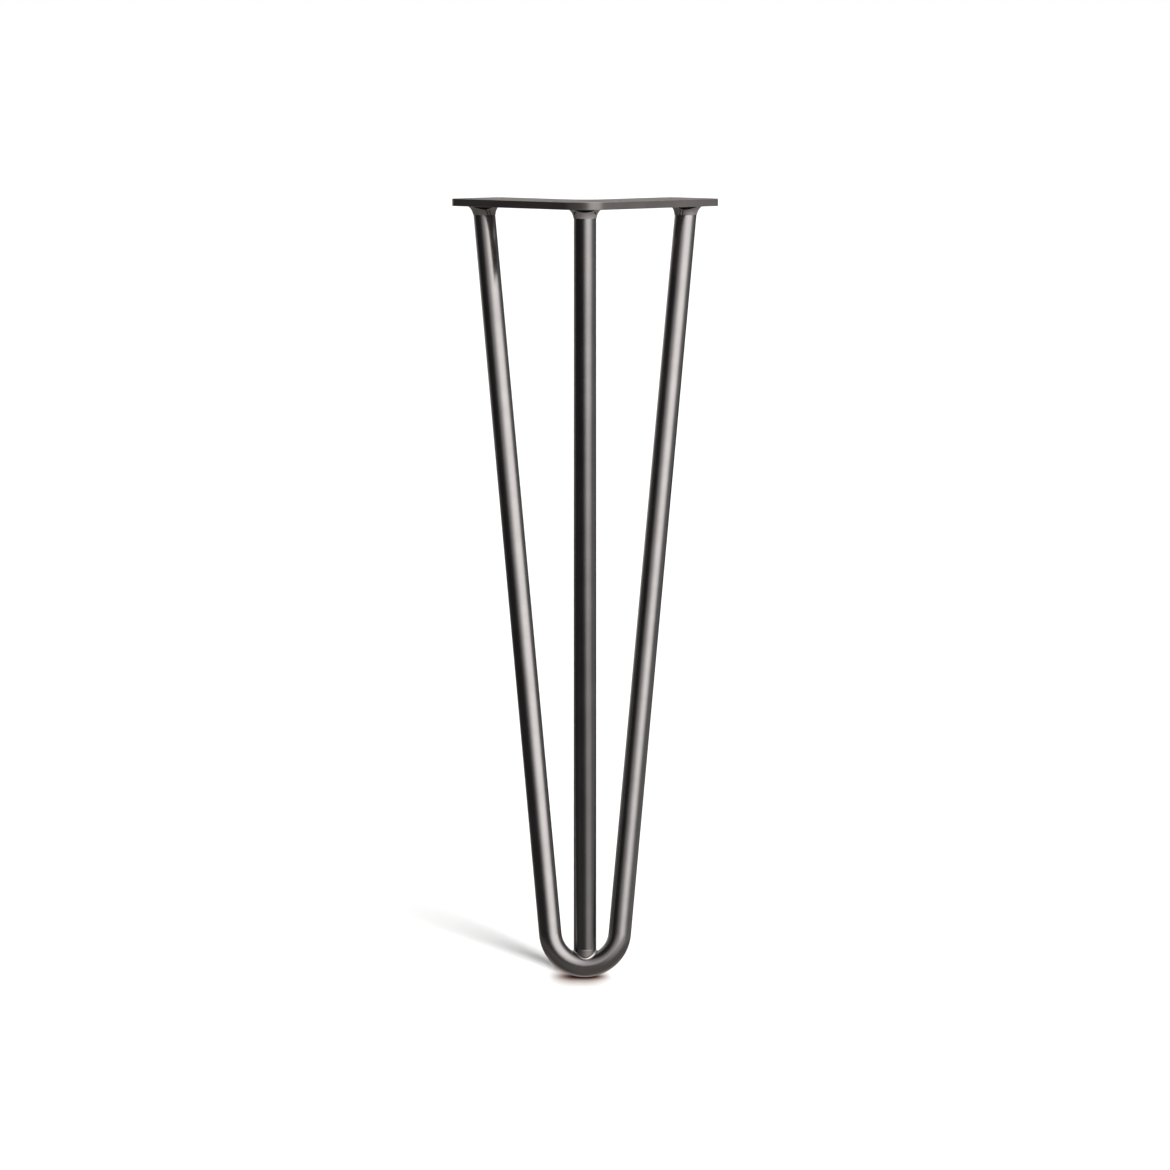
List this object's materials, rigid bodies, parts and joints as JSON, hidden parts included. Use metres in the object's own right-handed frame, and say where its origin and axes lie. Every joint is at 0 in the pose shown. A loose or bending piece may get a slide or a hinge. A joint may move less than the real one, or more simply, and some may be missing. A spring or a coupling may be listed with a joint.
{
  "type": "hairpin table leg",
  "caption": "Welded hairpin table leg: bent rod and straight rod under an angled screw plate.",
  "frame": {"origin": "on the mounting face of the plate, in the plane of symmetry, above the top of the third rod", "axes": "+Z out of the mounting face, towards the table top; -Y out of the plate's rounded corner, where the foot reaches to; +X to the right seen from the corner"},
  "size_m": [0.1458, 0.1514, 0.406],
  "materials": {
    "plate_coat": "satin black coat",
    "rod_coat": "satin black coat",
    "weld_coat": "satin black coat"
  },
  "bodies": {
    "root": {"mounting_plate": "plate_coat", "hairpin_rod": "rod_coat", "third_rod": "rod_coat", "weld_left": "weld_coat", "weld_right": "weld_coat", "weld_corner": "weld_coat", "weld_foot": "weld_coat"}
  },
  "joints": []
}
